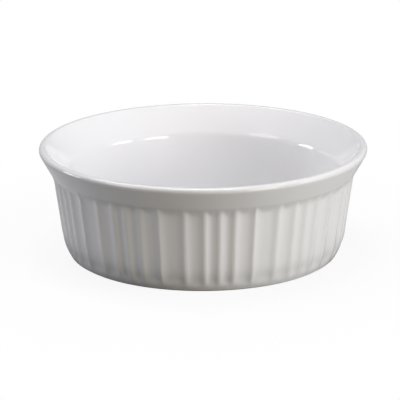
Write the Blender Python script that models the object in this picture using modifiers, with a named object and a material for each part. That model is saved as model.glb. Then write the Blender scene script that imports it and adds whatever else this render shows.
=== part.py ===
"""Round casserole dish in glazed stoneware: a fluted clay body and the coats of glaze fired onto it.

Lengths are in metres and +Z is up. The origin is the centre of the foot ring, on the table, and the
photographed front faces -Y. The sizes below are those of the bare clay unless they say otherwise.
"""

import math

import bmesh
import bpy

# Overall size, over the glaze
RIM_DIAMETER = 0.210
HEIGHT = 0.0714

# Glaze, and the clearance that keeps two touching solids apart
GLAZE_THICKNESS = 0.0004
CLEARANCE = 0.0003
SKIN = GLAZE_THICKNESS + CLEARANCE

# Lip: a narrow level land between two rounded edges, the outer one fuller
LIP_OUTER_ROUND = 0.0017
LIP_LAND = 0.0010
LIP_INNER_ROUND = 0.0010

# Rim that flares out over the wall, from where their lines meet; the easing reaches as far both ways
RIM_OVERHANG = 0.0084
FLARE_DEPTH = 0.0180
FLARE_EASING = 0.0043

# Wall, which narrows towards the foot
WALL_DRAFT = math.radians(7.8)
WALL_THICKNESS = 0.0066
CORNER_HEIGHT = 0.0120
FOOT_SETBACK = 0.0058

# Inside: a bend under the rim and a wide corner at the floor
BEND_DEPTH = 0.0178
BEND_ROUND = 0.0100
FLOOR_THICKNESS = 0.0055
FLOOR_ROUND = 0.0150

# Underside: a bare ring round a shallow glazed recess
FOOT_RING_WIDTH = 0.0058
FOOT_RECESS = 0.0016
RECESS_SLOPE = 0.0012
GLAZE_LINE = 0.0010
UNDERSIDE_MARGIN = 0.0015

# Flutes: groups of a wide, a medium, two narrow and a medium flute, measured against a narrow one
FLUTE_GROUPS = 10
WIDE_FLUTE = 1.70
MEDIUM_FLUTE = 1.32
NARROW_FLUTE = 1.0
FLUTE_PHASE = math.radians(6.0)
FLUTE_DEPTH = 0.0013
BAND_DEPTH = 0.0139
FLUTE_ARCH = 0.0048
FLUTE_FOOT = 0.0025
FLUTE_RUNOUT = 0.0085

# Facets
FACETS_PER_FLUTE = 3
SHARP_EDGE = math.radians(24.0)
MERGE_DISTANCE = 1e-6

CLAY = ("bare stoneware", (0.78, 0.72, 0.63), 0.85)
GLAZE = ("white glaze", (0.88, 0.88, 0.87), 0.10)
UNDER_GLAZE = ("white glaze, underside", (0.86, 0.86, 0.84), 0.18)


def arc(centre, radius, start, end, steps):
    """Points on a circle in the (radius, height) plane, from one angle to another."""
    angles = [start + (end - start) * step / steps for step in range(steps + 1)]
    return [(centre[0] + radius * math.cos(a), centre[1] + radius * math.sin(a)) for a in angles]


def fillet(before, corner, after, radius, steps):
    """Rounds the corner between two straight runs with an arc that is tangent to both."""
    towards = [math.atan2(p[1] - corner[1], p[0] - corner[0]) for p in (before, after)]
    turn = math.remainder(towards[1] - towards[0], math.tau)
    middle = towards[0] + turn / 2
    reach = radius / math.sin(abs(turn) / 2)
    centre = (corner[0] + reach * math.cos(middle), corner[1] + reach * math.sin(middle))
    half_sweep = (math.pi - abs(turn)) / 2
    side = math.copysign(1.0, turn)
    return arc(centre, radius, middle + math.pi + side * half_sweep,
               middle + math.pi - side * half_sweep, steps)


def outset(path, distance):
    """Moves a path by an even distance to its left, the open side of the clay."""
    normals = []
    for (r0, z0), (r1, z1) in zip(path, path[1:]):
        length = math.hypot(r1 - r0, z1 - z0)
        normals.append(((z0 - z1) / length, (r1 - r0) / length))
    moved = []
    for point, (a, b), (c, d) in zip(path, normals[:1] + normals, normals + normals[-1:]):
        scale = distance / (1.0 + a * c + b * d)
        moved.append((point[0] + scale * (a + c), point[1] + scale * (b + d)))
    return moved


def end_at_height(path, height):
    """Shortens a path that runs down the outside, so that it ends at the given height."""
    kept = list(path)
    below = kept[-1]
    while kept[-1][1] < height:
        below = kept.pop()
    above = kept[-1]
    share = (above[1] - height) / (above[1] - below[1])
    return kept + [(above[0] + (below[0] - above[0]) * share, height)]


def wall_radius(height):
    """Radius of the straight tapered wall, over the ridges between the flutes."""
    neck_radius = RIM_DIAMETER / 2 - SKIN - RIM_OVERHANG
    return neck_radius - (HEIGHT - FLARE_DEPTH - height) * math.tan(WALL_DRAFT)


def flare_angle():
    """Angle between the flared rim and the axis: its line touches the lip's outer round."""
    across = RIM_OVERHANG - LIP_OUTER_ROUND
    up = FLARE_DEPTH - SKIN - LIP_OUTER_ROUND
    line = math.atan2(up, across) - math.asin(LIP_OUTER_ROUND / math.hypot(across, up))
    return math.pi / 2 - line


def outer_radius(height):
    """Radius of the outside, where the wall eases into the flared rim."""
    above = height - (HEIGHT - FLARE_DEPTH)
    turn = math.tan(flare_angle()) - math.tan(WALL_DRAFT)
    easing = max(FLARE_EASING - abs(above), 0.0) ** 2 / (4 * FLARE_EASING)
    return wall_radius(height) + turn * (max(above, 0.0) + easing)


def inside_path():
    """The inside of the clay, from the centre of the floor up to the top of the lip."""
    lip_radius = RIM_DIAMETER / 2 - SKIN - LIP_OUTER_ROUND - LIP_LAND
    lip_centre = (lip_radius, HEIGHT - SKIN - LIP_INNER_ROUND)
    floor = FOOT_RECESS + FLOOR_THICKNESS
    bend_height = HEIGHT - BEND_DEPTH
    floor_corner = (wall_radius(floor) - WALL_THICKNESS, floor)
    bend = (wall_radius(bend_height) - WALL_THICKNESS, bend_height)
    to_bend = (bend[0] - lip_centre[0], bend[1] - lip_centre[1])
    leave = math.atan2(to_bend[1], to_bend[0]) - math.acos(LIP_INNER_ROUND / math.hypot(*to_bend))
    lip = arc(lip_centre, LIP_INNER_ROUND, leave % math.tau, math.pi / 2, 2)
    centre = (0.0, floor)
    return ([centre] + fillet(centre, floor_corner, bend, FLOOR_ROUND, 3)
            + fillet(floor_corner, bend, lip[0], BEND_ROUND, 2) + lip)


def outside_path():
    """The outside of the clay, from the outer edge of the lip's land down to the table."""
    lip_centre = (RIM_DIAMETER / 2 - SKIN - LIP_OUTER_ROUND, HEIGHT - SKIN - LIP_OUTER_ROUND)
    lip = arc(lip_centre, LIP_OUTER_ROUND, math.pi / 2, -flare_angle(), 3)
    heights = [HEIGHT - FLARE_DEPTH + FLARE_EASING * share for share in (1.0, 0.5, 0.0, -0.5, -1.0)]
    flare = [(outer_radius(height), height) for height in heights]
    # Below the wall, an arc tangent to it runs down to the foot
    start = (wall_radius(CORNER_HEIGHT), CORNER_HEIGHT)
    across = (math.cos(WALL_DRAFT), -math.sin(WALL_DRAFT))
    chord = FOOT_SETBACK ** 2 + CORNER_HEIGHT ** 2
    radius = chord / (2 * (FOOT_SETBACK * across[0] + CORNER_HEIGHT * across[1]))
    centre = (start[0] - radius * across[0], start[1] - radius * across[1])
    foot_angle = math.atan2(-centre[1], start[0] - FOOT_SETBACK - centre[0])
    return lip + flare + arc(centre, radius, -WALL_DRAFT, foot_angle, 3)


def flute_angles():
    """Angle of each facet's edge round the wall: every flute is split evenly between its ridges."""
    group = (WIDE_FLUTE, MEDIUM_FLUTE, NARROW_FLUTE, NARROW_FLUTE, MEDIUM_FLUTE)
    unit = math.tau / (FLUTE_GROUPS * sum(group))
    angles = []
    ridge = FLUTE_PHASE - WIDE_FLUTE * unit / 2
    for width in group * FLUTE_GROUPS:
        angles += [ridge + width * unit * facet / FACETS_PER_FLUTE for facet in range(FACETS_PER_FLUTE)]
        ridge += width * unit
    return angles


def flute_depth(facet, height):
    """Depth of the flutes at a facet's edge: they end in an arch above and run out at the foot."""
    across = 2.0 * (facet % FACETS_PER_FLUTE) / FACETS_PER_FLUTE - 1.0
    hollow = 1.0 - across ** 2
    below_band = (HEIGHT - BAND_DEPTH - height) / FLUTE_ARCH
    above_foot = min(max((height - FLUTE_FOOT) / FLUTE_RUNOUT, 0.0), 1.0)
    runout = above_foot ** 2 * (3.0 - 2.0 * above_foot)
    return FLUTE_DEPTH * max(min(hollow, below_band), 0.0) * runout


def on_outside(radius, height):
    """Tells the outside of the dish from its inside and its underside, by the middle of the clay."""
    if height < FOOT_RECESS + FLOOR_THICKNESS / 2:
        return radius > wall_radius(CORNER_HEIGHT) - FOOT_SETBACK - FOOT_RING_WIDTH / 2
    return radius > wall_radius(height) - WALL_THICKNESS / 2


def principled(look):
    """A material from its name, colour and roughness."""
    name, colour, roughness = look
    material = bpy.data.materials.new(name)
    material.use_nodes = True
    shader = material.node_tree.nodes["Principled BSDF"]
    shader.inputs["Base Color"].default_value = (*colour, 1.0)
    shader.inputs["Roughness"].default_value = roughness
    shader.inputs["Metallic"].default_value = 0.0
    material.diffuse_color = (*colour, 1.0)
    return material


def turned(name, path, look, collection, facets):
    """Turns a path about Z with a Screw modifier and returns the object with its finished mesh."""
    outline = bpy.data.meshes.new(name)
    edges = [(i, i + 1) for i in range(len(path) - 1)]
    outline.from_pydata([(r, 0.0, z) for r, z in path], edges, [])
    piece = bpy.data.objects.new(name, outline)
    collection.objects.link(piece)
    screw = piece.modifiers.new("turn", "SCREW")
    screw.axis = "Z"
    screw.steps = facets
    screw.render_steps = facets
    screw.use_merge_vertices = True
    screw.merge_threshold = MERGE_DISTANCE
    evaluated = piece.evaluated_get(bpy.context.evaluated_depsgraph_get())
    piece.data = bpy.data.meshes.new_from_object(evaluated)
    piece.modifiers.clear()
    bpy.data.meshes.remove(outline)
    piece.data.name = name
    piece.data.materials.clear()
    piece.data.materials.append(principled(look))
    return piece


def press_flutes(piece):
    """Presses the flutes into a turned piece's outside, and joins facets in pairs where it is plain."""
    angles = flute_angles()
    facets = len(angles)
    flute_top = HEIGHT - BAND_DEPTH
    mesh = bmesh.new()
    mesh.from_mesh(piece.data)
    facet_of = {}
    fluted = set()
    for vertex in mesh.verts:
        x, y, z = vertex.co
        radius = math.hypot(x, y)
        if radius < MERGE_DISTANCE:
            continue
        facet = round(math.atan2(y, x) / math.tau * facets) % facets
        facet_of[vertex] = facet
        if on_outside(radius, z) and z < flute_top + SKIN:
            fluted.add(vertex)
            radius -= flute_depth(facet, z)
        vertex.co.x = radius * math.cos(angles[facet])
        vertex.co.y = radius * math.sin(angles[facet])
    spare = []
    for edge in mesh.edges:
        steps = {facet_of[vertex] for vertex in edge.verts if vertex in facet_of}
        both_fluted = all(vertex in fluted for vertex in edge.verts)
        if len(steps) == 1 and min(steps) % 2 and not both_fluted:
            spare.append(edge)
    bmesh.ops.dissolve_edges(mesh, edges=spare, use_verts=True, use_face_split=False)
    # The flutes' faces twist a little, and clay and glaze must split them along the same diagonals
    twisted = [face for face in mesh.faces if all(vertex in fluted for vertex in face.verts)]
    bmesh.ops.triangulate(mesh, faces=twisted, quad_method="SHORT_EDGE")
    bmesh.ops.recalc_face_normals(mesh, faces=mesh.faces[:])
    mesh.to_mesh(piece.data)
    mesh.free()


def shade(piece):
    """Shades the curved surfaces smooth and keeps true edges crisp."""
    piece.data.shade_smooth()
    piece.data.set_sharp_from_angle(angle=SHARP_EDGE)


def build_dish():
    """Builds the clay body, the glaze over it and the glaze under its base."""
    dish = bpy.data.collections.new("casserole_dish")
    bpy.context.scene.collection.children.link(dish)
    facets = len(flute_angles())
    surface = inside_path() + outside_path()
    foot = surface[-1][0]
    recess_edge = foot - FOOT_RING_WIDTH - RECESS_SLOPE

    underside = [(foot - FOOT_RING_WIDTH, 0.0), (recess_edge, FOOT_RECESS), (0.0, FOOT_RECESS)]
    body = turned("stoneware_body", surface + underside, CLAY, dish, facets)
    press_flutes(body)
    shade(body)

    glaze_outer = end_at_height(outset(surface, SKIN), GLAZE_LINE)
    glaze_inner = end_at_height(outset(surface, CLEARANCE), GLAZE_LINE)
    coat = turned("glaze_coat", glaze_outer + glaze_inner[::-1], GLAZE, dish, facets)
    press_flutes(coat)
    shade(coat)

    edge = recess_edge - UNDERSIDE_MARGIN
    ceiling = FOOT_RECESS - CLEARANCE
    disc = [(0.0, ceiling), (edge, ceiling), (edge, ceiling - GLAZE_THICKNESS)]
    disc.append((0.0, ceiling - GLAZE_THICKNESS))
    under = turned("underside_glaze", disc, UNDER_GLAZE, dish, facets // 2)
    shade(under)


for leftover in list(bpy.data.objects):
    bpy.data.objects.remove(leftover, do_unlink=True)
build_dish()
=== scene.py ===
"""Studio scene of a round casserole dish: fluted stoneware under a glossy white glaze.

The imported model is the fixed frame. Three turned pieces are built round it, one for each of its
nodes: the clay body, the coat of glaze over it and the glaze under its base. Lengths are in metres,
+Z is up, the origin is the centre of the foot ring on the table and the front faces -Y.
"""

import logging
import math
from dataclasses import dataclass
from enum import Enum

import bpy
from mathutils import Matrix, Vector


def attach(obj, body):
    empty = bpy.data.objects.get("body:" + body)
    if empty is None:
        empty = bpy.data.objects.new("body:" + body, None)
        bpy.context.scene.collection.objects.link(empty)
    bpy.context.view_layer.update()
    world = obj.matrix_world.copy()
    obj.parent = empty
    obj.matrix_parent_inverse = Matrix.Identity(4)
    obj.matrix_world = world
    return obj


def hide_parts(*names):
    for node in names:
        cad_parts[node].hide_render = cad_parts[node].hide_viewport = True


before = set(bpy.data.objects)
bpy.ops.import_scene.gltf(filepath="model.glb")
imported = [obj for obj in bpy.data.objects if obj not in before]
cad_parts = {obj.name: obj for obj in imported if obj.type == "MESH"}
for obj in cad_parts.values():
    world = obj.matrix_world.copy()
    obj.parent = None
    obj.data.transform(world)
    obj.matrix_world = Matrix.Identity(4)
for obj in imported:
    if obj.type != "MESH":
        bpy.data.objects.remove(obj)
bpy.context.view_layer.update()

LOG = logging.getLogger("casserole_dish")
BODY = "root"
THIN_GLAZE = "thin_glaze"
REFRACTION = 1.5
SEED_SIZE = 0.01
SEAM_REACH = 2e-5
SLIVER_REACH = 2e-6
IMAGE_SIDE = 400
DISH_AXIS = {"center": (0.0, 0.0, 0.0), "axis": (0.0, 0.0, 1.0)}

Point = tuple[float, float]
Colour = tuple[float, float, float]


def arc(centre: Point, radius: float, start: float, end: float, steps: int) -> list[Point]:
    """Draws part of a circle in the (radius, height) plane.

    Args:
        centre: Centre of the circle.
        radius: Radius of the circle.
        start: Angle of the first point.
        end: Angle of the last point.
        steps: Number of chords.

    Returns:
        The points of the arc, both ends included.
    """
    angles = [start + (end - start) * step / steps for step in range(steps + 1)]
    return [(centre[0] + radius * math.cos(a), centre[1] + radius * math.sin(a)) for a in angles]


def fillet(before: Point, corner: Point, after: Point, radius: float, steps: int) -> list[Point]:
    """Rounds the corner between two straight runs.

    Args:
        before: A point on the run that comes in.
        corner: The sharp corner.
        after: A point on the run that goes out.
        radius: Radius of the rounding.
        steps: Number of chords.

    Returns:
        The points of an arc that is tangent to both runs.
    """
    towards = [math.atan2(p[1] - corner[1], p[0] - corner[0]) for p in (before, after)]
    turn = math.remainder(towards[1] - towards[0], math.tau)
    middle = towards[0] + turn / 2
    reach = radius / math.sin(abs(turn) / 2)
    centre = (corner[0] + reach * math.cos(middle), corner[1] + reach * math.sin(middle))
    half_sweep = (math.pi - abs(turn)) / 2
    side = math.copysign(1.0, turn)
    return arc(centre, radius, middle + math.pi + side * half_sweep,
               middle + math.pi - side * half_sweep, steps)


def outset(path: list[Point], distance: float) -> list[Point]:
    """Moves a path by an even distance to its left, the open side of the clay.

    Args:
        path: The points of the path.
        distance: How far it moves.

    Returns:
        The moved points.
    """
    normals = []
    for (r0, z0), (r1, z1) in zip(path, path[1:]):
        length = math.hypot(r1 - r0, z1 - z0)
        normals.append(((z0 - z1) / length, (r1 - r0) / length))
    moved = []
    for point, (a, b), (c, d) in zip(path, normals[:1] + normals, normals + normals[-1:]):
        scale = distance / (1.0 + a * c + b * d)
        moved.append((point[0] + scale * (a + c), point[1] + scale * (b + d)))
    return moved


def end_at_height(path: list[Point], height: float) -> list[Point]:
    """Shortens a path that runs down the outside.

    Args:
        path: The points of the path.
        height: The height at which it ends.

    Returns:
        The shortened path.
    """
    kept = list(path)
    below = kept[-1]
    while kept[-1][1] < height:
        below = kept.pop()
    above = kept[-1]
    share = (above[1] - height) / (above[1] - below[1])
    return kept + [(above[0] + (below[0] - above[0]) * share, height)]


def spread(first: float, last: float, count: int) -> list[float]:
    """Lists values between two others, the last one included and the first one left out.

    Args:
        first: The value before the first one listed.
        last: The last value.
        count: How many values are listed.

    Returns:
        The evenly spaced values.
    """
    return [first + (last - first) * step / count for step in range(1, count + 1)]


class Detail(Enum):
    """How finely an outline is drawn: as seen, or where another surface hides it."""

    SEEN = 4
    HIDDEN = 2


@dataclass(frozen=True)
class Outline:
    """Half section of the clay, from which every turned piece takes its shape.

    The rim's radius and the height are those of the glazed dish, and the clay lies a skin inside
    them. Depths are measured down from the rim, and other heights up from the table.
    """

    rim_radius: float = 0.105
    height: float = 0.0714
    glaze_thickness: float = 0.0004
    clearance: float = 0.0003
    lip_outer_round: float = 0.0017
    lip_land: float = 0.0010
    lip_inner_round: float = 0.0010
    rim_overhang: float = 0.0084
    flare_depth: float = 0.0180
    flare_easing: float = 0.0043
    wall_draft: float = math.radians(7.8)
    wall_thickness: float = 0.0066
    corner_height: float = 0.0160
    foot_setback: float = 0.00635
    bend_depth: float = 0.0178
    bend_round: float = 0.0100
    floor_thickness: float = 0.0055
    floor_round: float = 0.0150
    last_floor_ring: float = 0.060
    foot_ring_width: float = 0.0058
    foot_recess: float = 0.0016
    recess_slope: float = 0.0012
    glaze_line: float = 0.0010
    underside_margin: float = 0.0015
    band_depth: float = 0.0139
    flute_arch: float = 0.0063

    @property
    def skin(self) -> float:
        """Distance from the clay to the outside of the glaze."""
        return self.glaze_thickness + self.clearance

    @property
    def flute_top(self) -> float:
        """Height at which the plain band under the rim ends."""
        return self.height - self.band_depth

    @property
    def floor(self) -> float:
        """Height of the clay floor inside."""
        return self.foot_recess + self.floor_thickness

    @property
    def foot_radius(self) -> float:
        """Radius of the foot's outer edge."""
        return self.wall_radius(self.corner_height) - self.foot_setback

    @property
    def flare_start(self) -> float:
        """Height at which the lines of the wall and of the flared rim meet."""
        return self.height - self.flare_depth

    @property
    def flare_angle(self) -> float:
        """Angle between the flared rim and the axis: its line touches the lip's outer round."""
        across = self.rim_overhang - self.lip_outer_round
        up = self.flare_depth - self.skin - self.lip_outer_round
        line = math.atan2(up, across) - math.asin(self.lip_outer_round / math.hypot(across, up))
        return math.pi / 2 - line

    def wall_radius(self, height: float) -> float:
        """Radius of the straight tapered wall at a height."""
        neck = self.rim_radius - self.skin - self.rim_overhang
        return neck - (self.flare_start - height) * math.tan(self.wall_draft)

    def outer_radius(self, height: float) -> float:
        """Gives the radius of the outside, where the wall eases into the flared rim.

        Args:
            height: The height.

        Returns:
            The radius of the clay.
        """
        above = height - self.flare_start
        turn = math.tan(self.flare_angle) - math.tan(self.wall_draft)
        easing = max(self.flare_easing - abs(above), 0.0) ** 2 / (4 * self.flare_easing)
        return self.wall_radius(height) + turn * (max(above, 0.0) + easing)

    def inside(self, detail: Detail) -> list[Point]:
        """Draws the inside of the clay, from the centre of the floor to the top of the lip.

        Args:
            detail: How finely it is drawn.

        Returns:
            The points of the path.
        """
        n = detail.value
        lip_centre = (self.rim_radius - self.skin - self.lip_outer_round - self.lip_land,
                      self.height - self.skin - self.lip_inner_round)
        bend_height = self.height - self.bend_depth
        corner = (self.wall_radius(self.floor) - self.wall_thickness, self.floor)
        bend = (self.wall_radius(bend_height) - self.wall_thickness, bend_height)
        to_bend = (bend[0] - lip_centre[0], bend[1] - lip_centre[1])
        leave = math.atan2(to_bend[1], to_bend[0])
        leave -= math.acos(self.lip_inner_round / math.hypot(*to_bend))
        lip = arc(lip_centre, self.lip_inner_round, leave % math.tau, math.pi / 2, 2 * n)
        centre = (0.0, self.floor)
        floor = [(radius, self.floor) for radius in spread(0.0, self.last_floor_ring, n)]
        return ([centre] + floor + fillet(centre, corner, bend, self.floor_round, 3 * n)
                + fillet(corner, bend, lip[0], self.bend_round, 2 * n) + lip)

    def outside(self, detail: Detail) -> list[Point]:
        """Draws the outside of the clay, from beside the top of the lip to the table.

        Args:
            detail: How finely it is drawn.

        Returns:
            The points of the path.
        """
        n = detail.value
        lip_centre = (self.rim_radius - self.skin - self.lip_outer_round,
                      self.height - self.skin - self.lip_outer_round)
        lip = arc(lip_centre, self.lip_outer_round, math.pi / 2, -self.flare_angle, 3 * n)
        heights = spread(lip[-1][1], self.flare_start + self.flare_easing, n)
        heights += spread(heights[-1], self.flare_start - self.flare_easing, 5 * n)
        heights += spread(heights[-1], self.corner_height, 2 * n)[:-1]
        flare = [(self.outer_radius(height), height) for height in heights]
        start = (self.wall_radius(self.corner_height), self.corner_height)
        across = (math.cos(self.wall_draft), -math.sin(self.wall_draft))
        chord = self.foot_setback ** 2 + self.corner_height ** 2
        radius = chord / (2 * (self.foot_setback * across[0] + self.corner_height * across[1]))
        centre = (start[0] - radius * across[0], start[1] - radius * across[1])
        foot_angle = math.atan2(-centre[1], self.foot_radius - centre[0])
        return lip + flare + arc(centre, radius, -self.wall_draft, foot_angle, 3 * n)

    def surface(self, detail: Detail) -> list[Point]:
        """Draws the clay from the centre of the floor over the lip and down to the table."""
        return self.inside(detail) + self.outside(detail)


@dataclass(frozen=True)
class Flutes:
    """Hollow flutes round the wall, in groups of graduated widths that repeat.

    The ridge's softness is a share of half a flute, the arch's a share of the depth, and the ridge
    zone the share of a flute that is drawn finer.
    """

    outline: Outline = Outline()
    groups: int = 10
    widths: tuple[float, ...] = (1.70, 1.32, 1.0, 1.0, 1.32)
    phase: float = math.radians(6.0)
    depth: float = 0.0013
    curve: float = 2.0
    fullness: float = 0.6
    ridge_softness: float = 0.07
    arch_softness: float = 0.16
    foot: float = 0.0025
    runout: float = 0.0060
    ridge_zone: float = 0.22

    @property
    def sector(self) -> float:
        """Angle that one group of flutes takes up."""
        return math.tau / self.groups

    @property
    def start(self) -> float:
        """Angle of the ridge at which the first group starts."""
        return self.phase - self.widths[0] * self.unit / 2

    @property
    def unit(self) -> float:
        """Angle of a flute whose relative width is 1."""
        return self.sector / sum(self.widths)

    def across(self, angle: float) -> tuple[float, float]:
        """Tells which flute an angle lies in, and where.

        Args:
            angle: Angle from the start of a group.

        Returns:
            The flute's relative width, and its place: 0 on a ridge and 1 in the middle.
        """
        rest = angle % self.sector
        for width in self.widths:
            if rest <= width * self.unit:
                break
            rest -= width * self.unit
        return width, 1.0 - abs(2.0 * rest / (width * self.unit) - 1.0)

    def hollow(self, angle: float, height: float) -> float:
        """Gives the share of the full depth at a place on the wall.

        The hollow is a power curve from ridge to ridge, fuller in a wide flute. Under the band an
        eased ramp caps it, which draws the arch, and above the foot it fades out.

        Args:
            angle: Angle from the start of a group.
            height: Height above the table.

        Returns:
            0 on the plain wall, and 1 at the bottom of a flute.
        """
        soft = self.ridge_softness
        width, place = self.across(angle)
        from_ridge = (math.hypot(place, soft) - soft) / (math.hypot(1.0, soft) - soft)
        hollow = 1.0 - (1.0 - from_ridge) ** (self.curve * width ** self.fullness)
        below = max((self.outline.flute_top - height) / self.outline.flute_arch, 0.0)
        ease = 2.0 * self.arch_softness
        below = below ** 2 / (2.0 * ease) if below < ease else below - ease / 2.0
        below /= 1.0 - ease / 2.0
        blend = max(self.arch_softness - abs(hollow - below), 0.0) / self.arch_softness
        capped = min(hollow, below) - blend ** 2 * self.arch_softness / 4.0
        above_foot = min(max((height - self.foot) / self.runout, 0.0), 1.0)
        return max(capped, 0.0) * above_foot ** 2 * (3.0 - 2.0 * above_foot)


@dataclass(frozen=True)
class NodeBench:
    """Adds nodes to one tree and links them."""

    tree: bpy.types.NodeTree

    def add(self, kind: str, inputs: dict[str | int, object] | None = None,
            **settings: object) -> bpy.types.Node:
        """Adds a node.

        Args:
            kind: The node's type.
            inputs: A value for each input, or the output that feeds it.
            settings: The node's own properties.

        Returns:
            The node.
        """
        node = self.tree.nodes.new(kind)
        for name, value in settings.items():
            setattr(node, name, value)
        for name, value in (inputs or {}).items():
            if isinstance(value, bpy.types.NodeSocket):
                self.tree.links.new(value, node.inputs[name])
            else:
                node.inputs[name].default_value = value
        return node

    def ramp(self, value: bpy.types.NodeSocket, low: float, high: float, to_low: float = 0.0,
             to_high: float = 1.0) -> bpy.types.NodeSocket:
        """Maps a value smoothly from one range to another.

        Args:
            value: The value.
            low: Value that gives to_low.
            high: Value that gives to_high.
            to_low: The result's first end.
            to_high: The result's other end.

        Returns:
            The output that holds the result.
        """
        ranges = {"Value": value, "From Min": low, "From Max": high, "To Min": to_low,
                  "To Max": to_high}
        node = self.add("ShaderNodeMapRange", ranges, interpolation_type="SMOOTHSTEP")
        return node.outputs["Result"]

    def compute(self, operation: str, *values: object) -> bpy.types.NodeSocket:
        """Computes one value.

        Args:
            operation: The Math node's operation.
            values: Its numbers, or the outputs that hold them.

        Returns:
            The output that holds the result.
        """
        node = self.add("ShaderNodeMath", dict(enumerate(values)), operation=operation)
        return node.outputs[0]

    def noise(self, place: bpy.types.NodeSocket, scale: float,
              detail: float) -> bpy.types.NodeSocket:
        """Adds cloudy noise.

        Args:
            place: The output that holds the place.
            scale: Cells in a metre.
            detail: How many finer layers it has.

        Returns:
            The output that holds the noise.
        """
        node = self.add("ShaderNodeTexNoise", {"Vector": place, "Scale": scale, "Detail": detail})
        return node.outputs["Fac"]

    def blend(self, share: bpy.types.NodeSocket, first: object,
              second: object) -> bpy.types.NodeSocket:
        """Mixes two colours.

        Args:
            share: How much of the second one shows.
            first: A colour, or the output that holds it.
            second: A colour, or the output that holds it.

        Returns:
            The output that holds the mixture.
        """
        colours = [value if isinstance(value, bpy.types.NodeSocket) else (*value, 1.0)
                   for value in (first, second)]
        mix = self.add("ShaderNodeMix", data_type="RGBA")
        for name, value in zip(("Factor", "A", "B"), (share, *colours)):
            socket = next(s for s in mix.inputs if s.name == name and s.enabled)
            if isinstance(value, bpy.types.NodeSocket):
                self.tree.links.new(value, socket)
            else:
                socket.default_value = value
        return next(s for s in mix.outputs if s.enabled)


def cleared(owner: bpy.types.Material | bpy.types.World) -> NodeBench:
    """Empties the node tree of a material or a world, and gives its bench."""
    owner.use_nodes = True
    owner.node_tree.nodes.clear()
    return NodeBench(owner.node_tree)


def start_effect(name: str, outputs: tuple[str, ...]) -> tuple[NodeBench, bpy.types.NodeSocket]:
    """Starts a node group that takes a place on the piece and gives values there.

    Args:
        name: Name of the group.
        outputs: Names of its outputs.

    Returns:
        The bench of the group's tree, and the output that holds the place.
    """
    tree = bpy.data.node_groups.new(name, "ShaderNodeTree")
    tree.interface.new_socket("Place", in_out="INPUT", socket_type="NodeSocketVector")
    for output in outputs:
        tree.interface.new_socket(output, in_out="OUTPUT", socket_type="NodeSocketFloat")
    bench = NodeBench(tree)
    return bench, bench.add("NodeGroupInput").outputs["Place"]


def flowed_glaze() -> bpy.types.NodeTree:
    """Builds the unevenness of a melted glaze: a slow cloud, gentle waves and a fine peel.

    Returns:
        The node group, with Height and Cloud between 0 and 1.
    """
    wave_share, peel_share = 0.88, 0.12
    cloud_from, cloud_to = 0.35, 0.65
    bench, place = start_effect("flowed_glaze", ("Height", "Cloud"))
    cloud = bench.noise(place, scale=34.0, detail=2.0)
    waves = bench.noise(place, scale=210.0, detail=1.0)
    peel = bench.noise(place, scale=1300.0, detail=1.0)
    fine = bench.compute("MULTIPLY", peel, peel_share)
    bench.add("NodeGroupOutput", {"Height": bench.compute("MULTIPLY_ADD", waves, wave_share, fine),
                                  "Cloud": bench.ramp(cloud, cloud_from, cloud_to)})
    return bench.tree


def kiln_specks() -> bpy.types.NodeTree:
    """Builds the few dark specks and pinholes that firing leaves.

    Returns:
        The node group, with Specks at 1 in the middle of a speck and 0 elsewhere.
    """
    empty_cells, largest, soft_edge = 0.72, 0.075, 0.03
    bench, place = start_effect("kiln_specks", ("Specks",))
    cells = bench.add("ShaderNodeTexVoronoi", {"Vector": place, "Scale": 150.0})
    chance = bench.add("ShaderNodeSeparateColor", {"Color": cells.outputs["Color"]})
    reach = bench.ramp(chance.outputs["Red"], empty_cells, 1.0, 0.0, largest)
    inside = bench.compute("SUBTRACT", reach, cells.outputs["Distance"])
    bench.add("NodeGroupOutput", {"Specks": bench.ramp(inside, 0.0, soft_edge)})
    return bench.tree


def fired_clay() -> bpy.types.NodeTree:
    """Builds bare stoneware: a sandy grain, a patchy tone and rings left by grinding the foot.

    Returns:
        The node group, with Height, Tone and Rings between 0 and 1.
    """
    ring_share, tone_from, tone_to = 0.35, 0.3, 0.7
    bench, place = start_effect("fired_clay", ("Height", "Tone", "Rings"))
    grain = bench.noise(place, scale=1900.0, detail=4.0)
    tone = bench.noise(place, scale=60.0, detail=5.0)
    wave = bench.add("ShaderNodeTexWave", {"Vector": place, "Scale": 420.0, "Distortion": 3.0,
                                           "Detail": 3.0, "Detail Scale": 0.4},
                     wave_type="RINGS", rings_direction="Z")
    rings = wave.outputs["Fac"]
    height = bench.compute("MULTIPLY_ADD", rings, ring_share, grain)
    bench.add("NodeGroupOutput", {"Height": height, "Rings": rings,
                                  "Tone": bench.ramp(tone, tone_from, tone_to)})
    return bench.tree


@dataclass(frozen=True)
class Effects:
    """The node groups that the finishes share."""

    flow: bpy.types.NodeTree
    specks: bpy.types.NodeTree
    clay: bpy.types.NodeTree

    @classmethod
    def make(cls) -> "Effects":
        """Builds each group once."""
        return cls(flowed_glaze(), kiln_specks(), fired_clay())


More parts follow.
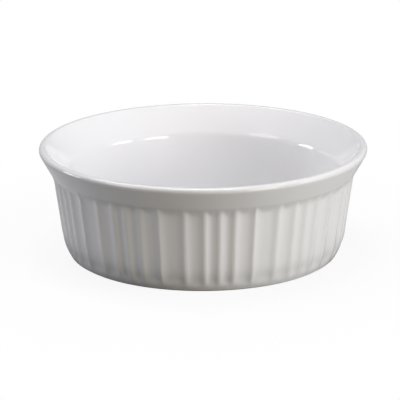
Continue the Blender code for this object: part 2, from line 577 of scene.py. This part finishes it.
@dataclass(frozen=True)
class GlazeFinish:
    """Glossy opaque white glaze, warmer where it runs thin: there by the least share or more."""

    name: str
    colour: Colour
    thin_colour: Colour = (0.84, 0.82, 0.79)
    least_share: float = 0.35
    speck_colour: Colour = (0.42, 0.36, 0.29)
    smoothest: float = 0.05
    roughest: float = 0.08
    ripple: float = 0.00003
    speckled: float = 0.08

    def material(self, effects: Effects) -> bpy.types.Material:
        """Makes the material.

        Args:
            effects: The shared node groups.

        Returns:
            The material.
        """
        material = bpy.data.materials.new(self.name)
        bench = cleared(material)
        place = bench.add("ShaderNodeTexCoord").outputs["Object"]
        flow = bench.add("ShaderNodeGroup", {"Place": place}, node_tree=effects.flow)
        specks = bench.add("ShaderNodeGroup", {"Place": place}, node_tree=effects.specks)
        thin = bench.add("ShaderNodeAttribute", attribute_name=THIN_GLAZE).outputs["Fac"]
        patchy = bench.ramp(flow.outputs["Cloud"], 0.0, 1.0, self.least_share, 1.0)
        body = bench.blend(bench.compute("MULTIPLY", thin, patchy), self.colour,
                           self.thin_colour)
        spots = bench.ramp(specks.outputs["Specks"], 0.0, 1.0, 0.0, self.speckled)
        shader = bench.add("ShaderNodeBsdfPrincipled", {
            "Base Color": bench.blend(spots, body, self.speck_colour),
            "Roughness": bench.ramp(flow.outputs["Cloud"], 0.0, 1.0, self.smoothest, self.roughest),
            "Normal": bench.add("ShaderNodeBump", {"Height": flow.outputs["Height"],
                                                   "Distance": self.ripple}).outputs["Normal"],
            "IOR": REFRACTION,
        })
        bench.add("ShaderNodeOutputMaterial", {"Surface": shader.outputs["BSDF"]})
        return material


@dataclass(frozen=True)
class ClayFinish:
    """Bare stoneware, ground flat on the foot and toasted beside the glaze."""

    name: str = "bare_fired_clay"
    colour: Colour = (0.78, 0.72, 0.63)
    dark_colour: Colour = (0.68, 0.60, 0.50)
    toasted_colour: Colour = (0.60, 0.45, 0.31)
    speck_colour: Colour = (0.25, 0.19, 0.14)
    toasted_from: float = 0.0002
    toasted_to: float = 0.0011
    toasted_share: float = 0.55
    smoothest: float = 0.72
    roughest: float = 0.92
    grain: float = 0.00012

    def material(self, effects: Effects) -> bpy.types.Material:
        """Makes the material.

        Args:
            effects: The shared node groups.

        Returns:
            The material.
        """
        material = bpy.data.materials.new(self.name)
        bench = cleared(material)
        place = bench.add("ShaderNodeTexCoord").outputs["Object"]
        clay = bench.add("ShaderNodeGroup", {"Place": place}, node_tree=effects.clay)
        specks = bench.add("ShaderNodeGroup", {"Place": place}, node_tree=effects.specks)
        height = bench.add("ShaderNodeSeparateXYZ", {"Vector": place}).outputs["Z"]
        toasted = bench.ramp(height, self.toasted_from, self.toasted_to, 0.0,
                             self.toasted_share)
        body = bench.blend(clay.outputs["Tone"], self.dark_colour, self.colour)
        flashed = bench.blend(toasted, body, self.toasted_colour)
        shader = bench.add("ShaderNodeBsdfPrincipled", {
            "Base Color": bench.blend(specks.outputs["Specks"], flashed, self.speck_colour),
            "Roughness": bench.ramp(clay.outputs["Rings"], 0.0, 1.0, self.smoothest, self.roughest),
            "Normal": bench.add("ShaderNodeBump", {"Height": clay.outputs["Height"],
                                                   "Distance": self.grain}).outputs["Normal"],
            "IOR": REFRACTION,
        })
        bench.add("ShaderNodeOutputMaterial", {"Surface": shader.outputs["BSDF"]})
        return material


@dataclass
class TurnedPiece:
    """A piece whose outline is turned round the dish's axis. Edges past the crease stay crisp."""

    outline: Outline = Outline()
    name: str = ""
    node: str = ""
    slot: str = ""
    crease: float = math.radians(60.0)

    def profile(self) -> list[Point]:
        """Draws the half section.

        Returns:
            The points of a path that starts and ends on the axis.
        """
        raise NotImplementedError

    def draw(self, angle: float) -> bpy.types.Object:
        """Draws the profile as a chain of edges, upright at an angle round the axis.

        Args:
            angle: The angle from +X.

        Returns:
            The object, in edit mode with the last point selected.
        """
        points = [Vector((r * math.cos(angle), r * math.sin(angle), z)) for r, z in self.profile()]
        bpy.ops.mesh.primitive_plane_add(size=SEED_SIZE)
        piece = bpy.context.object
        piece.name = self.name
        piece.data.name = self.name
        bpy.ops.object.mode_set(mode="EDIT")
        bpy.ops.mesh.select_mode(type="VERT")
        bpy.ops.mesh.select_all(action="SELECT")
        bpy.ops.mesh.merge(type="CENTER")
        bpy.ops.transform.translate(value=points[0])
        for here, there in zip(points, points[1:]):
            bpy.ops.mesh.extrude_region_move(TRANSFORM_OT_translate={"value": there - here})
        return piece

    def turn(self, angle: float, steps: int) -> None:
        """Spins what is selected round the axis, which leaves its far end selected.

        Args:
            angle: How far it turns.
            steps: Number of facets.
        """
        bpy.ops.mesh.spin(steps=steps, angle=angle, **DISH_AXIS)

    def close(self) -> None:
        """Merges the seams and poles of the piece in edit mode, faces it outwards and shades it."""
        bpy.ops.mesh.select_all(action="SELECT")
        bpy.ops.mesh.remove_doubles(threshold=SEAM_REACH)
        bpy.ops.mesh.dissolve_degenerate(threshold=SLIVER_REACH)
        bpy.ops.mesh.normals_make_consistent(inside=False)
        bpy.ops.object.mode_set(mode="OBJECT")
        bpy.ops.object.shade_smooth_by_angle(angle=self.crease)

    def seat(self, piece: bpy.types.Object) -> bpy.types.Object:
        """Puts the piece in place of its node.

        Args:
            piece: The finished object.

        Returns:
            The same object.
        """
        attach(piece, BODY)
        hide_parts(self.node)
        return piece


@dataclass
class FlutedPiece(TurnedPiece):
    """A turned piece with the flutes pressed into its outside."""

    flutes: Flutes = Flutes()
    ridge_facets: int = 2
    facet_width: float = math.radians(0.92)

    def turn_group(self) -> None:
        """Spins the profile through one group of flutes, finer beside each ridge."""
        for width in self.flutes.widths:
            flute = width * self.flutes.unit
            zone = flute * self.flutes.ridge_zone / 2
            middle = flute - 2 * zone
            self.turn(zone, self.ridge_facets)
            self.turn(middle, max(round(middle / self.facet_width), 1))
            self.turn(zone, self.ridge_facets)

    def on_outside(self, radius: float, height: float) -> bool:
        """Tells the outside of the dish from its inside and its underside."""
        outline = self.outline
        if height < outline.foot_recess + outline.floor_thickness / 2:
            return radius > outline.foot_radius - outline.foot_ring_width / 2
        return radius > outline.wall_radius(height) - outline.wall_thickness / 2

    def press(self, piece: bpy.types.Object) -> None:
        """Presses the flutes into one group's wall with weighted Displace modifiers.

        The faces that show are pushed in along their normals. Those on the back of a coat face the
        clay, so they are pushed the other way, and the coat keeps its thickness.

        Args:
            piece: The object that holds the group, in object mode.
        """
        front, back = "flutes_front", "flutes_back"
        groups = {name: piece.vertex_groups.new(name=name) for name in (front, back)}
        for vertex in piece.data.vertices:
            x, y, z = vertex.co
            if self.on_outside(math.hypot(x, y), z) and z < self.outline.flute_top:
                angle = (math.atan2(y, x) - self.flutes.start) % math.tau
                side = front if vertex.normal.x * x + vertex.normal.y * y > 0.0 else back
                groups[side].add([vertex.index], self.flutes.hollow(angle, z), "REPLACE")
        for name, strength in ((front, -self.flutes.depth), (back, self.flutes.depth)):
            press = piece.modifiers.new(name, "DISPLACE")
            press.vertex_group = name
            press.direction = "NORMAL"
            press.mid_level = 0.0
            press.strength = strength
            bpy.ops.object.modifier_apply(modifier=name)

    def repeat_group(self) -> None:
        """Copies the finished group round the axis until the wall is whole."""
        copies = self.flutes.groups - 1
        bpy.ops.object.mode_set(mode="EDIT")
        bpy.ops.mesh.select_all(action="SELECT")
        bpy.ops.mesh.spin(steps=copies, dupli=True, angle=self.flutes.sector * copies, **DISH_AXIS)

    def build(self) -> bpy.types.Object:
        """Turns, flutes and closes the piece.

        Returns:
            The object, in place of its node.
        """
        piece = self.draw(self.flutes.start)
        bpy.ops.mesh.select_all(action="SELECT")
        self.turn_group()
        bpy.ops.mesh.select_all(action="SELECT")
        bpy.ops.mesh.normals_make_consistent(inside=False)
        bpy.ops.object.mode_set(mode="OBJECT")
        self.press(piece)
        self.repeat_group()
        self.close()
        return self.seat(piece)


@dataclass
class StonewareBody(FlutedPiece):
    """The fired clay: the wall under the glaze, and the bare foot ring it stands on."""

    name: str = "fired_clay_body"
    node: str = "stoneware_body"
    slot: str = "bare_stoneware"
    ridge_facets: int = 1
    facet_width: float = math.radians(2.6)
    crease: float = math.radians(35.0)
    foot_round: float = 0.0005
    round_steps: int = 4

    def profile(self) -> list[Point]:
        """Draws the clay with its foot ground flat and slightly rounded at the edges.

        Returns:
            The points of the half section.
        """
        outline = self.outline
        surface = outline.surface(Detail.HIDDEN)
        foot = surface.pop()
        ring = (foot[0] - outline.foot_ring_width, 0.0)
        recess = (ring[0] - outline.recess_slope, outline.foot_recess)
        centre = (0.0, outline.foot_recess)
        for before, corner, after in ((surface[-1], foot, ring), (foot, ring, recess),
                                      (ring, recess, centre)):
            surface += fillet(before, corner, after, self.foot_round, self.round_steps)
        return surface + [centre]


@dataclass
class GlazeCoat(FlutedPiece):
    """The glaze over the inside, the rim and the fluted wall, down to the glaze line."""

    name: str = "white_glaze_coat"
    node: str = "glaze_coat"
    slot: str = "white_glaze"
    ridge_width: float = 0.0007
    thin_lip: float = 0.3
    roll_steps: int = 6

    def profile(self) -> list[Point]:
        """Draws the glaze with a rolled edge above the bare foot.

        Returns:
            The points of the half section.
        """
        outline = self.outline
        seen = outset(outline.surface(Detail.SEEN), outline.skin)
        hidden = outset(outline.surface(Detail.HIDDEN), outline.clearance)
        ends = [end_at_height(path, outline.glaze_line)[-1][0] for path in (seen, hidden)]
        roll = (ends[0] - ends[1]) / 2
        seen, hidden = [end_at_height(path, outline.glaze_line + roll) for path in (seen, hidden)]
        edge = arc((hidden[-1][0] + roll, seen[-1][1]), roll, 0.0, -math.pi, self.roll_steps)
        return seen[:-1] + edge + hidden[-2::-1]

    def thinness(self, angle: float, radius: float, height: float) -> float:
        """Tells how thin the glaze runs: most over the ridges and the lip's outer edge.

        Args:
            angle: Angle from the start of a group.
            radius: Distance from the axis.
            height: Height above the table.

        Returns:
            0 where the glaze is full and 1 where it is thinnest.
        """
        outline = self.outline
        if height > outline.height - outline.lip_outer_round:
            to_edge = (outline.rim_radius - radius) / outline.lip_outer_round
            return self.thin_lip * math.exp(-to_edge ** 2)
        if radius < outline.wall_radius(height) - outline.wall_thickness / 2:
            return 0.0
        width, place = self.flutes.across(angle)
        to_ridge = place * width * self.flutes.unit * radius / (2 * self.ridge_width)
        fluted = self.flutes.hollow(angle + self.flutes.unit * width / 2, height)
        return fluted * math.exp(-to_ridge ** 2)

    def press(self, piece: bpy.types.Object) -> None:
        """Presses the flutes, and marks where the glaze runs thin.

        Args:
            piece: The object that holds the group, in object mode.
        """
        super().press(piece)
        marks = piece.data.attributes.new(THIN_GLAZE, "FLOAT", "POINT")
        for vertex in piece.data.vertices:
            x, y, z = vertex.co
            angle = (math.atan2(y, x) - self.flutes.start) % math.tau
            marks.data[vertex.index].value = self.thinness(angle, math.hypot(x, y), z)


@dataclass
class UndersideGlaze(TurnedPiece):
    """The disc of glaze in the recess under the base, wiped back from the foot ring."""

    name: str = "underside_glaze_disc"
    node: str = "underside_glaze"
    slot: str = "underside_white_glaze"
    facets: int = 180
    rings: int = 6
    roll_steps: int = 8

    def profile(self) -> list[Point]:
        """Draws a thin disc with a rolled edge.

        Returns:
            The points of the half section.
        """
        outline = self.outline
        half = outline.glaze_thickness / 2
        top = outline.foot_recess - outline.clearance
        bottom = top - outline.glaze_thickness
        edge = (outline.foot_radius - outline.foot_ring_width - outline.recess_slope
                - outline.underside_margin - half)
        radii = [0.0] + spread(0.0, edge, self.rings)[:-1]
        roll = arc((edge, top - half), half, math.pi / 2, -math.pi / 2, self.roll_steps)
        return ([(radius, top) for radius in radii] + roll
                + [(radius, bottom) for radius in reversed(radii)])

    def build(self) -> bpy.types.Object:
        """Builds the disc.

        Returns:
            The object, in place of its node.
        """
        piece = self.draw(0.0)
        bpy.ops.mesh.select_all(action="SELECT")
        self.turn(math.tau, self.facets)
        self.close()
        return self.seat(piece)


@dataclass(frozen=True)
class Softbox:
    """A round soft lamp that hangs round the dish and points at it.

    Its angles are in degrees, the azimuth from the front towards +X, and its power in watts. One
    that isn't mirrored lights the dish without a reflection in the glaze.
    """

    name: str
    azimuth: float
    elevation: float
    power: float
    colour: Colour = (1.0, 1.0, 1.0)
    diameter: float = 0.6
    distance: float = 1.3
    mirrored: bool = True

    def hang(self, target: Vector) -> None:
        """Adds the lamp.

        Args:
            target: The point that it lights.
        """
        a, e = math.radians(self.azimuth), math.radians(self.elevation)
        towards = Vector((math.sin(a) * math.cos(e), -math.cos(a) * math.cos(e), math.sin(e)))
        bpy.ops.object.light_add(type="AREA", location=target + towards * self.distance,
                                 rotation=towards.to_track_quat("Z", "Y").to_euler())
        lamp = bpy.context.object
        lamp.name = self.name
        lamp.data.shape = "DISK"
        lamp.data.size = self.diameter
        lamp.data.energy = self.power
        lamp.data.color = self.colour
        lamp.visible_glossy = self.mirrored


SOFTBOXES = (
    Softbox("overhead softbox", 0.0, 90.0, 6.8, (0.95, 0.96, 0.99)),
    Softbox("back softbox", -135.0, 62.0, 3.9, (1.0, 0.91, 0.91)),
    Softbox("rear fill", -175.0, 14.0, 2.4, mirrored=False),
    Softbox("left softbox", -100.0, 12.0, 4.35, (0.86, 0.89, 1.0), diameter=0.4),
    Softbox("left fill", -60.0, 36.0, 2.4, (1.0, 0.98, 0.95)),
    Softbox("warm key softbox", 41.0, 12.0, 6.0, (1.0, 0.94, 0.81), diameter=0.5),
    Softbox("key softbox", 75.0, 12.0, 3.8, (0.93, 0.97, 1.0), diameter=0.45),
    Softbox("upper fill", 60.0, 36.0, 4.7, (0.86, 0.86, 1.0), mirrored=False),
)


def seen_share(bench: NodeBench, rays: bpy.types.Node, direct: object,
               mirrored: object) -> bpy.types.NodeSocket:
    """Gives how white a place of the studio is for each kind of ray.

    Args:
        bench: The bench of the material or the world.
        rays: Its Light Path node.
        direct: How white the camera sees it.
        mirrored: How white it is in a glossy or a clear surface.

    Returns:
        The output that holds the share, 0 for the rays that light a surface.
    """
    indirect = bench.compute("MAXIMUM", rays.outputs["Is Glossy Ray"],
                             rays.outputs["Is Transmission Ray"])
    seen = bench.compute("MULTIPLY", rays.outputs["Is Camera Ray"], direct)
    return bench.compute("MULTIPLY_ADD", indirect, mirrored, seen)


@dataclass(frozen=True)
class Studio:
    """The floor, lamps and camera of the product photograph.

    Each reach gives two distances from the dish's axis, between which the floor changes. A bounce
    is the floor's colour as it lights the dish, and what is mirrored is its share of white there.
    Both are painted shade near the foot: darker there to stand in for the dish's contact shadow.
    The far bounce is painted shade as well, which dims the floor's light on the dish farther out.
    """

    target: tuple[float, float, float] = (-0.00216, 0.0, 0.0336)
    camera_distance: float = 1.680
    camera_elevation: float = math.radians(16.55)
    camera_roll: float = 0.0050
    focal_pixels: float = 2607.0
    sensor: float = 36.0
    floor_side: float = 24.0
    floor_colour: Colour = (0.9, 0.9, 0.9)
    # Painted shade: the paper's colour for the rays that light the dish, darker near the foot to
    # stand in for the contact shadow.
    shaded_contact_bounce: Colour = (0.10, 0.10, 0.10)
    floor_bounce: Colour = (0.32, 0.31, 0.30)
    # Painted shade: far out the paper lights the dish with a much darker colour, which dims the
    # floor's light on it.
    far_shaded_bounce: Colour = (0.06, 0.06, 0.06)
    contact_shade_reach: tuple[float, float] = (0.088, 0.128)
    bounce_reach: tuple[float, float] = (0.15, 0.22)
    shadow_reach: tuple[float, float] = (0.10, 0.25)
    shadow_white: float = 0.9
    # Painted shade in the reflection: near the foot the glaze mirrors the paper less white, for the
    # contact shadow.
    shaded_contact_mirrored: float = 0.1
    floor_mirrored: float = 0.45
    room_mirrored: float = 0.3

    def place_camera(self) -> None:
        """Adds the camera at the photograph's viewing angle."""
        e = self.camera_elevation
        back = Vector((0.0, -math.cos(e), math.sin(e)))
        right = Vector((1.0, 0.0, 0.0))
        up = back.cross(right)
        rolled_right = right * math.cos(self.camera_roll) - up * math.sin(self.camera_roll)
        rolled_up = right * math.sin(self.camera_roll) + up * math.cos(self.camera_roll)
        turned = Matrix((rolled_right, rolled_up, back)).transposed()
        bpy.ops.object.camera_add(location=Vector(self.target) + back * self.camera_distance,
                                  rotation=turned.to_euler())
        camera = bpy.context.object
        camera.name = "camera"
        camera.data.sensor_width = self.sensor
        camera.data.lens = self.focal_pixels * self.sensor / IMAGE_SIDE
        bpy.context.scene.camera = camera

    def white_where_seen(self, paper: bpy.types.Material) -> None:
        """Makes the floor's material: grey paper that the camera and the glaze see as white.

        Near the dish the paper shows through the white, so that the shadow stays. For the rays that
        light the dish, and in the glaze's reflection, the paper is painted darker near the foot, as
        painted contact shadow, and it lights the dish darker again farther out.

        Args:
            paper: The floor's material.
        """
        bench = cleared(paper)
        rays = bench.add("ShaderNodeLightPath")
        place = bench.add("ShaderNodeTexCoord").outputs["Object"]
        away = bench.add("ShaderNodeVectorMath", {0: place}, operation="LENGTH").outputs["Value"]
        # Painted shade: near the foot the paper lights the dish with a darker colour, standing in
        # for the contact shadow, and farther out darker again.
        shaded_near = bench.blend(bench.ramp(away, *self.contact_shade_reach), self.shaded_contact_bounce,
                           self.floor_bounce)
        bounce = bench.blend(bench.ramp(away, *self.bounce_reach), shaded_near, self.far_shaded_bounce)
        surface = bench.add("ShaderNodeBsdfDiffuse", {
            "Color": bench.blend(rays.outputs["Is Camera Ray"], bounce, self.floor_colour)})
        # Painted shade in the reflection: near the foot the glaze mirrors less white, standing in
        # for the contact shadow.
        shaded_mirror = bench.ramp(away, *self.contact_shade_reach, self.shaded_contact_mirrored, self.floor_mirrored)
        direct = bench.ramp(away, *self.shadow_reach, self.shadow_white, 1.0)
        share = seen_share(bench, rays, direct, shaded_mirror)
        mix = bench.add("ShaderNodeMixShader", {0: share, 1: surface.outputs[0],
                                                2: bench.add("ShaderNodeEmission").outputs[0]})
        bench.add("ShaderNodeOutputMaterial", {"Surface": mix.outputs[0]})

    def lay_floor(self) -> None:
        """Lays the pale floor."""
        bpy.ops.mesh.primitive_plane_add(size=self.floor_side)
        floor = bpy.context.object
        floor.name = "studio_floor"
        paper = bpy.data.materials.new("white floor")
        self.white_where_seen(paper)
        floor.data.materials.append(paper)

    def fill_room(self) -> None:
        """Gives the room beyond the floor: white where it is seen, and dim in the glaze."""
        world = bpy.data.worlds.new("studio")
        bpy.context.scene.world = world
        bench = cleared(world)
        share = seen_share(bench, bench.add("ShaderNodeLightPath"), 1.0, self.room_mirrored)
        white = bench.add("ShaderNodeBackground", {"Color": (1.0, 1.0, 1.0, 1.0),
                                                   "Strength": share})
        bench.add("ShaderNodeOutputWorld", {"Surface": white.outputs[0]})

    def build(self) -> None:
        """Sets up the stage and its light."""
        self.lay_floor()
        self.fill_room()
        for softbox in SOFTBOXES:
            softbox.hang(Vector(self.target))
        self.place_camera()
        bpy.context.scene.view_settings.view_transform = "Standard"


def main() -> None:
    """Builds the dish and its studio."""
    logging.basicConfig(level=logging.INFO, format="%(message)s")
    effects = Effects.make()
    white = GlazeFinish("glossy_white_glaze", (0.87, 0.87, 0.87))
    wiped = GlazeFinish("wiped_white_glaze", (0.86, 0.86, 0.84), roughest=0.16, ripple=0.00006,
                        speckled=0.6)
    for maker, finish in ((StonewareBody(), ClayFinish()), (GlazeCoat(), white),
                          (UndersideGlaze(), wiped)):
        piece = maker.build()
        piece.data.materials.append(finish.material(effects))
        LOG.info("%s: %d faces", piece.name, len(piece.data.polygons))
    Studio().build()


if __name__ == "__main__":
    main()
